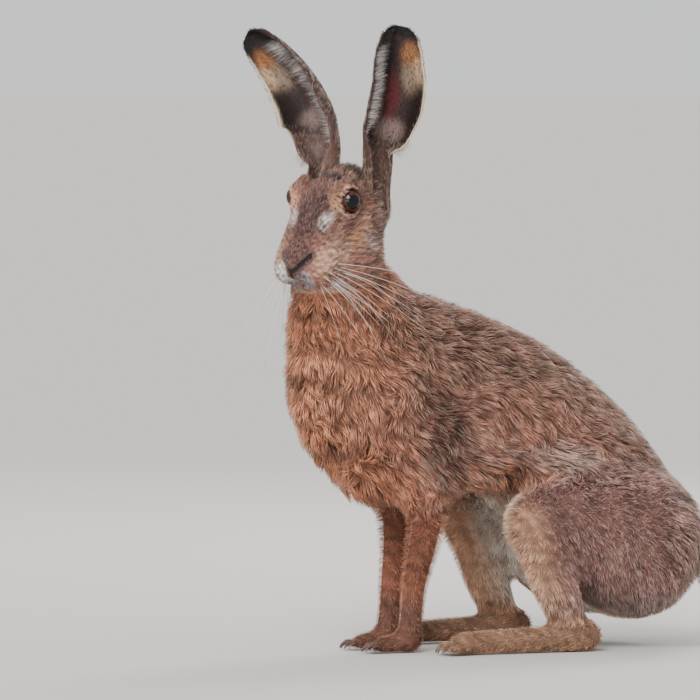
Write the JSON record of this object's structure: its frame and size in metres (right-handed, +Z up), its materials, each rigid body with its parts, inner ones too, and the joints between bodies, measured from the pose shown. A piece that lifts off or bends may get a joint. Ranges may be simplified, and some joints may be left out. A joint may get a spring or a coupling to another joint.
{
  "type": "brown hare",
  "caption": "Life-size brown hare sitting alert on its haunches, forelegs upright, long black-tipped ears raised, head turned to its left.",
  "frame": {"origin": "on the floor, under the middle of the bounding box", "axes": "+Z up from the floor to the ear tips; the hare's body faces -X, its left side is -Y"},
  "size_m": [0.4228, 0.1984, 0.4976],
  "materials": {
    "coat_back": "short dense fur",
    "coat_russet": "short dense fur",
    "coat_face": "very short fur",
    "whisker_pad": "very short pale fur with whiskers",
    "ear": "thin furred sheet",
    "eye": "wet gloss",
    "claw": "horn"
  },
  "bodies": {
    "root": {"torso": "coat_back", "neck": "coat_russet", "tail": "coat_back", "head": "coat_face", "eye_left": "eye", "whisker_pad_left": "whisker_pad", "ear_left": "ear", "upper_arm_left": "coat_back", "forearm_left": "coat_russet", "forepaw_left": "coat_russet", "thigh_left": "coat_back", "shank_left": "coat_back", "hind_foot_left": "coat_russet", "claw_forepaw_left_1": "claw", "claw_hind_foot_left_1": "claw", "claw_forepaw_left_2": "claw", "claw_hind_foot_left_2": "claw", "claw_forepaw_left_3": "claw", "claw_hind_foot_left_3": "claw", "claw_forepaw_left_4": "claw", "claw_hind_foot_left_4": "claw", "eye_right": "eye", "whisker_pad_right": "whisker_pad", "ear_right": "ear", "upper_arm_right": "coat_back", "forearm_right": "coat_russet", "forepaw_right": "coat_russet", "thigh_right": "coat_back", "shank_right": "coat_back", "hind_foot_right": "coat_russet", "claw_forepaw_right_1": "claw", "claw_hind_foot_right_1": "claw", "claw_forepaw_right_2": "claw", "claw_hind_foot_right_2": "claw", "claw_forepaw_right_3": "claw", "claw_hind_foot_right_3": "claw", "claw_forepaw_right_4": "claw", "claw_hind_foot_right_4": "claw"}
  },
  "joints": []
}
